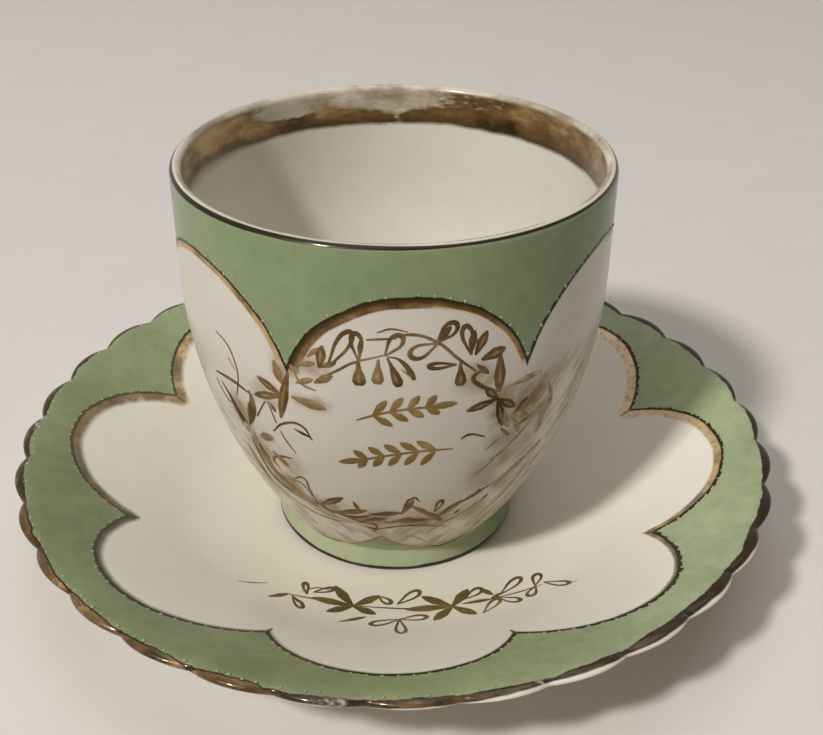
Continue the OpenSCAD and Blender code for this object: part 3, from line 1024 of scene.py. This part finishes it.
def makeCupLining():
    m, shader, co = newMaterial("cup_lining")
    x, y, z = inMillimetres(co)
    a = calc("ARCTAN2", x, y)  # nought at the back
    along = inMetres(x * 0.52, y * 0.52, z * 1.35)  # streaks run round the wall
    white = mottle(co, tone["lining"], 0.1)
    cream = mottle(along, tone["cream"], 0.5)
    back = fall(abs(a), 0.55, 1.25)
    gap = band((noise(co, 120.0, 4.0, 0.65) - 0.5) * 0.5 + a, -0.1, 0.14, 0.12)
    wear = gap * 0.4 + back * ease(z, 79.2, 82.6) * ease(a, 0.15, 0.5, 0.66, 0.34)
    # painted reflection: the lining's gilding paler towards the lip, less so at the back
    paintedReflection = ease(z, 78.5, 84.5, 0.0, 0.5) * (back * -0.7 + 1.0) - 0.12
    gilt = oldGilt(along, wear, paintedReflection)
    smoke = ease(noise(along, 130.0, 4.0, 0.65), 0.4, 0.68, 0.0, 0.75) * ease(z, 79.0, 81.0)
    stained = blend(smoke, cream["Colour"], tone["smoke"])
    level = z + (noise(co, 90.0) - 0.5) * 1.5
    start = ease(level - 77.6, ease(x, -39.0, -25.0, -1.9, -0.4), ease(x, -39.0, -25.0, 2.4, 0.8))
    gold = start * fall(z, 85.0, 85.9) * gilt["Kept"]
    colour = blend(ease(level, 77.4, 79.0), white["Colour"], stained)
    # painted reflection: the gilding darkened towards umber at its lower edge
    low = ease(level, 77.8, 80.6, 0.7, 0.0)
    colour = blend(gold, colour, blend(low, gilt["Colour"], tone["umber"]))
    finishShader(shader, gold, colour, white["Height"] + gold * 0.4)
    return m


def makeSaucerPaint():
    m, shader, co = newMaterial("saucer_paint")
    x, y, z = inMillimetres(co)
    lines = useGroup(petalLine, Vector=co)
    r, edge = lines["Radius"], lines["Edge"]
    sideways, backward = x / r, y / r
    wobble = (noise(co, 160.0) - 0.5) * 0.7
    p = lines["Petal"] + wobble
    white = mottle(co, tone["dishWhite"], 0.09)
    # the ground is darker towards the front and the left, paler towards the back and the right
    laid = ease(y * 0.6 + x, -92.0, 38.0)
    green = mottle(co, blend(laid, tone["deepGreen"], tone["paleGreen"]), 0.46)
    colour = blend(ease(p, -0.2, 0.2), white["Colour"], green["Colour"])
    # lobes: a broad soft wash at the sides and back, only a line in front
    # painted reflection: the lobes' gilding paler to the right and at the back, darker in front
    paintedReflection = ease(sideways, -0.3, 0.75, 0.2, 0.95) - ease(backward, -0.6, 0.3, 0.7, 0.0)
    gilt = oldGilt(co, 0.14, paintedReflection)
    wide = most(calc("MINIMUM", backward * 1.5 + 1.9, 2.3), 0.5)
    soft = ease(sideways, -0.5, 0.4, 0.7, 0.3)
    wash = ease((p + wide) / soft, -1.0, 1.0) * fall(p, 0.0, 0.3) * gilt["Kept"]
    colour = blend(wash * 0.88, colour, gilt["Colour"])
    grain = noise(co, 900.0, 3.0, 0.6)
    colour = blend(wash * ease(grain, 0.53, 0.63, 0.0, 0.5), colour, tone["brown"])
    toothed = (noise(co, 560.0, 2.0) - 0.5) * ease(sideways, -0.3, 0.6, 0.6, 1.5)
    broad = p + ease(backward, -0.9, -0.2, 0.2, 0.0)
    outline = ease(broad, -0.3, -0.06) * fall(p + toothed, 0.4, 0.64)
    outline = outline * ease(sideways, -0.95, -0.6, 0.65, 1.0)
    colour = blend(outline, colour, tone["dark"])
    # rim: gilded over the roll, the bare glaze showing under it on the right
    hug = inMetres(x * 0.6, y * 0.6, (z + r) * 2.6)
    worn = oldGilt(hug, 0.22, -0.2)
    leftward = calc("POWER", most(sideways * -1.0, 0.0), 4.0)
    corner = most(sideways, 0.0) * abs(backward)
    limit = corner * ease(backward, -0.2, 0.5, rimGilt["corner"], rimGilt["backCorner"])
    limit = limit + (leftward * rimGilt["left"] + rimGilt["reach"])
    limit = (noise(co, 120.0, 3.0, 0.65) - 0.5) * 1.9 + limit
    follow = rimGilt["follow"]
    reach = edge * follow + (rimGilt["from"] - r) * (1 - follow) + wobble
    past = reach - limit
    rim = most(fall(past, -0.14, 0.14), fall(edge, 0.5, 0.8))
    face = (r + edge) * 0.817 - 41.23  # height of the edge, lower in the valleys
    drop = face - edge * 0.29 - z
    deepest = ease(sideways, -0.15, 0.3, 1.7, 0.9) + ease(sideways, 0.7, 0.95, 0.0, 0.7)
    deepest = (noise(co, 60.0) - 0.5) * 1.3 + deepest
    over = fall(drop - deepest, -0.15, 0.15)
    rimGold = rim * over * worn["Kept"]
    colour = blend(rim, colour, blend(over, white["Colour"], tone["cream"]))
    # painted shade: the rim's gilding darker, and with less coat, on the right and at the back; the plum
    # tint, grain and dark inner edge are the gilding's own
    paintedShadeRim = most(ease(sideways, 0.45, 0.85), ease(backward, 0.0, 0.45))
    agedAndShadedGilt = blend(ease(sideways, 0.1, 0.7, 0.0, 0.8), worn["Colour"], tone["plum"])
    for dark in (ease(grain, 0.5, 0.62, 0.0, 0.28), band(past, -0.4, 0.2, 0.12), paintedShadeRim * 0.6):
        agedAndShadedGilt = blend(dark, agedAndShadedGilt, tone["dark"])
    colour = blend(rimGold, colour, agedAndShadedGilt)
    gold = most(wash, outline, rimGold)
    finishShader(shader, gold, colour, green["Height"] + gold * 0.6, rimGold * (paintedShadeRim * -0.75 + 1.0))
    return m


def makePlainGlaze():
    m, shader, co = newMaterial("plain_glaze")
    white = mottle(co, tone["dishWhite"], 0.12)
    plug(shader["Base Color"], white["Colour"])
    plug(shader["Roughness"], ease(white["Height"], 0.3, 0.9, 0.22, 0.32))
    bumpUp(shader, white["Height"], finish["bump"], finish["bumpMuch"])
    return m


def makeHandleGlaze():
    m, shader, co = newMaterial("handle_glaze")
    x, y, z = inMillimetres(co)
    white = mottle(co, tone["cupWhite"], 0.12)
    gilt = oldGilt(co, 0.3, 0.3)
    wobble = (noise(co, 180.0) - 0.5) * 0.9
    gold = fall(abs(x) + wobble, 1.0, 1.4) * gilt["Kept"]  # one line down the spine
    finishShader(shader, gold, blend(gold, white["Colour"], gilt["Colour"]), white["Height"])
    return m


def makeStrokeGilt(name, base, bare, wear, low=None):
    m, shader, co = newMaterial(name)
    if low:
        x, y, z = inMillimetres(co)
        base = blend(ease(z, 30.0, 48.0), low, base)  # browner over the foot
    gilt = oldGilt(co, wear, 0.0)
    colour = blend(0.55, gilt["Colour"], base)
    plug(shader["Base Color"], blend(gilt["Kept"], bare, colour))
    plug(shader["Roughness"], ease(gilt["Height"], 0.3, 0.7, 0.28, 0.45))
    plug(shader["Metallic"], gilt["Kept"] * 0.4)
    plug(shader["IOR"], finish["ior"])
    bumpUp(shader, gilt["Height"], 0.00005, 0.4)
    return m


def makeDotEnamel():
    m, shader, co = newMaterial("dot_enamel")
    sage = mottle(co, tone["dotGreen"], 0.4)
    plug(shader["Base Color"], sage["Colour"])
    plug(shader["Roughness"], ease(sage["Height"], 0.4, 0.9, 0.22, 0.4))
    return m


def dress(obj, material, inner=None, test=None):
    # a second material goes on the faces that pass the test
    obj.data.materials.clear()
    obj.data.materials.append(material)
    if inner:
        obj.data.materials.append(inner)
        deselect()
        bpy.context.view_layer.objects.active = obj
        obj.select_set(True)
        editMode()
        pick("FACE", test)
        obj.active_material_index = 1
        bpy.ops.object.material_slot_assign()
        objectMode()


# lining inside the wall, plain glaze under the saucer
dress(cupBody, makeCupPaint(), makeCupLining(),
      lambda p: p.z > 9.5 * mm and hypot(p.x, p.y) < (bowlR(p.z / mm) - 1.1) * mm)
dress(saucer, makeSaucerPaint(), makePlainGlaze(),
      lambda p: hypot(p.x, p.y) < 76 * mm and p.z < (dishZ(hypot(p.x, p.y) / mm) - 1.2) * mm)
dress(grip, makeHandleGlaze())
# stroke finishes: name, gilding, what shows where it has rubbed through, wear, tone over the foot
strokeLooks = {
    "cup_gilding": ("cup_stroke_gilt", srgb(76, 56, 26), tone["cupWhite"], 0.08, srgb(122, 84, 40)),
    "saucer_gilding": ("saucer_stroke_gilt", srgb(124, 112, 62), tone["dishWhite"], 0.05),
    "cup_gilding_painted_highlights": ("painted_highlight_gilt", srgb(160, 128, 82), tone["tan"], 0.2),
    "cup_gilding_worn": ("rubbed_stroke_gilt", srgb(160, 133, 98), srgb(198, 184, 164), 0.42),
    "cup_gilding_faded": ("faded_stroke_gilt", srgb(158, 127, 80), srgb(196, 178, 150), 0.24)}
for name, look in strokeLooks.items():
    dress(gilding[name], makeStrokeGilt(*look))
dotEnamel = makeDotEnamel()
for piece in dotPieces:
    dress(piece, dotEnamel)
print("finishes on:", len(bpy.data.materials), "materials")


# table and soft light from the front left
stage = {"table": srgb(222, 217, 212), "tableSize": 6, "tableRough": 0.6, "fadeFrom": 480.0, "fadeTo": 1150.0,
         "sky": srgb(240, 234, 227), "skyLevel": 0.12, "skySeen": 0.63, "aim": (0, 0, 0.04)}
keyLamp = {"place": (-0.995, -0.951, 1.451), "size": 0.18, "power": 28.8, "colour": (1.0, 0.975, 0.945)}
topLamp = {"place": (0.1, 0.25, 1.6), "size": 1.4, "power": 8.0, "colour": (1.0, 0.985, 0.965)}


def isSeen(tree):
    # rays that meet the room itself, and not its light
    path = wiresOf(tree.nodes.new("ShaderNodeLightPath"))
    return most(path["Is Camera Ray"], path["Is Glossy Ray"], path["Is Transmission Ray"])


def makeTable(v):
    deselect()
    bpy.ops.mesh.primitive_plane_add(size=v["tableSize"])
    table = rename("table")
    m, shader, co = newMaterial("table_top")
    plug(shader["Base Color"], mottle(co, v["table"], 0.05)["Colour"])
    plug(shader["Roughness"], v["tableRough"])
    # far from the cup the table fades into the pale room
    x, y, z = inMillimetres(co)
    far = ease(lengthOf(x, y), v["fadeFrom"], v["fadeTo"])
    nodes, links = m.node_tree.nodes, m.node_tree.links
    room = nodes.new("ShaderNodeEmission")
    plug(room.inputs["Color"], v["sky"])
    plug(room.inputs["Strength"], v["skySeen"])
    both = nodes.new("ShaderNodeMixShader")
    plug(both.inputs[0], far * isSeen(m.node_tree))
    links.new(nodes["Principled BSDF"].outputs[0], both.inputs[1])
    links.new(room.outputs[0], both.inputs[2])
    links.new(both.outputs[0], nodes["Material Output"].inputs["Surface"])
    table.data.materials.append(m)


def addLamp(name, v):
    bpy.ops.object.light_add(type="AREA", location=v["place"])
    lamp = rename(name)
    lamp.data.size = v["size"]
    lamp.data.energy = v["power"]
    lamp.data.color = v["colour"]
    lamp.rotation_euler = (Vector(stage["aim"]) - Vector(v["place"])).to_track_quat("-Z", "Y").to_euler()


makeTable(stage)
addLamp("keyLamp", keyLamp)
addLamp("topLamp", topLamp)
world = bpy.data.worlds.new("room")
scene.world = world
world.use_nodes = True
sky = world.node_tree.nodes["Background"].inputs
plug(sky["Color"], stage["sky"])
plug(sky["Strength"], isSeen(world.node_tree) * (stage["skySeen"] - stage["skyLevel"]) + stage["skyLevel"])
